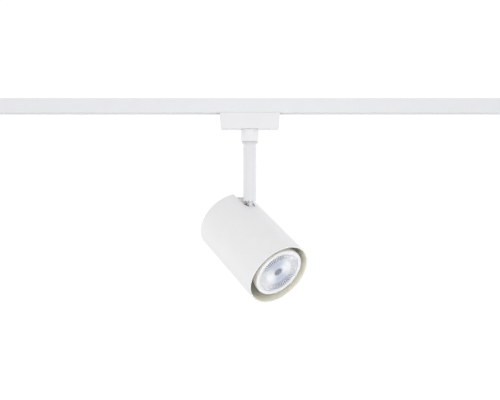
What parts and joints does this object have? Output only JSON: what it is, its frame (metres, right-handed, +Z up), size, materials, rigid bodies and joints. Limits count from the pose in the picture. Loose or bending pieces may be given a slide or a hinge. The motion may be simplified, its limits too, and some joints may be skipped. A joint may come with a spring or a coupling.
{
  "type": "track spotlight",
  "caption": "White track spotlight: plug-in adapter on a short ceiling rail, straight stem that pans, and a slotted cylindrical head that tilts and holds a twist-in reflector lamp.",
  "frame": {"origin": "centre of the rail's ceiling face, straight above the stem", "axes": "+X along the rail, -Y towards the front, +Z up into the ceiling"},
  "size_m": [0.504, 0.1094, 0.1955],
  "materials": {
    "rail_paint": "satin white powder coat",
    "adapter_plastic": "satin white moulding",
    "collar_plastic": "satin white moulding",
    "insulator": "grey extruded plastic",
    "copper": "bare copper",
    "contact_metal": "bare spring bronze",
    "steel": "zinc plated",
    "stem_paint": "satin white powder coat",
    "washer_nylon": "nylon",
    "head_paint": "satin white powder coat",
    "bracket_steel": "bare steel",
    "ceramic": "unglazed steatite",
    "lead_insulation": "silicone sleeve",
    "lamp_white": "white lamp moulding",
    "lamp_base": "white lamp base",
    "lens_clear": "clear ribbed moulding",
    "board": "white circuit board",
    "chip": "phosphor coat"
  },
  "bodies": {
    "rail": {"rail_profile": "rail_paint", "rail_insulators": "insulator", "rail_conductors": "copper", "rail_end_cap_left": "adapter_plastic", "rail_end_cap_right": "adapter_plastic"},
    "adapter": {"adapter_housing": "adapter_plastic", "adapter_cover": "insulator", "adapter_contact_live": "contact_metal", "adapter_contact_neutral": "contact_metal", "adapter_earth_contact": "contact_metal", "adapter_screws": "steel", "terminal_block": "insulator", "terminal_screws": "steel", "adapter_leads": "lead_insulation", "swivel_collar": "collar_plastic", "collar_nut": "steel"},
    "stem": {"swivel_washer": "washer_nylon", "stem_nipple": "steel", "wave_washer": "steel", "lock_nut": "steel", "stem_tube": "stem_paint", "hinge_tongue": "stem_paint", "stem_leads": "lead_insulation"},
    "head": {"head_casing": "head_paint", "rear_cap": "head_paint", "hinge_bracket": "bracket_steel", "hinge_pin": "steel", "friction_washers": "steel", "holder_bracket": "bracket_steel", "cap_screws": "steel", "lampholder": "ceramic", "holder_screws": "steel", "holder_contacts": "contact_metal", "head_leads": "lead_insulation"},
    "lamp": {"lamp_base": "lamp_base", "lamp_pins": "steel", "lamp_body": "lamp_white", "led_board": "board", "led_chip": "chip", "lamp_optic": "lens_clear", "lamp_lens": "lens_clear", "lamp_bezel": "lamp_white"}
  },
  "joints": [
    {"name": "rail_slide", "type": "slide", "parent": "rail", "child": "adapter", "axis": [1, 0, 0], "range_m": [-0.205, 0.205]},
    {"name": "stem_pan", "type": "hinge", "parent": "adapter", "child": "stem", "pos_m": [0, 0, -0.04], "axis": [0, 0, 1], "range_deg": [-175, 175]},
    {"name": "head_tilt", "type": "hinge", "parent": "stem", "child": "head", "pos_m": [0, 0, -0.10569], "axis": [0.7804, 0.6252, 0], "range_deg": [-32, 40]},
    {"name": "lamp_twist", "type": "hinge", "parent": "head", "child": "lamp", "pos_m": [0.00264, -0.00121, -0.14151], "axis": [0.5302, -0.6618, -0.5299], "range_deg": [0, 30]}
  ]
}
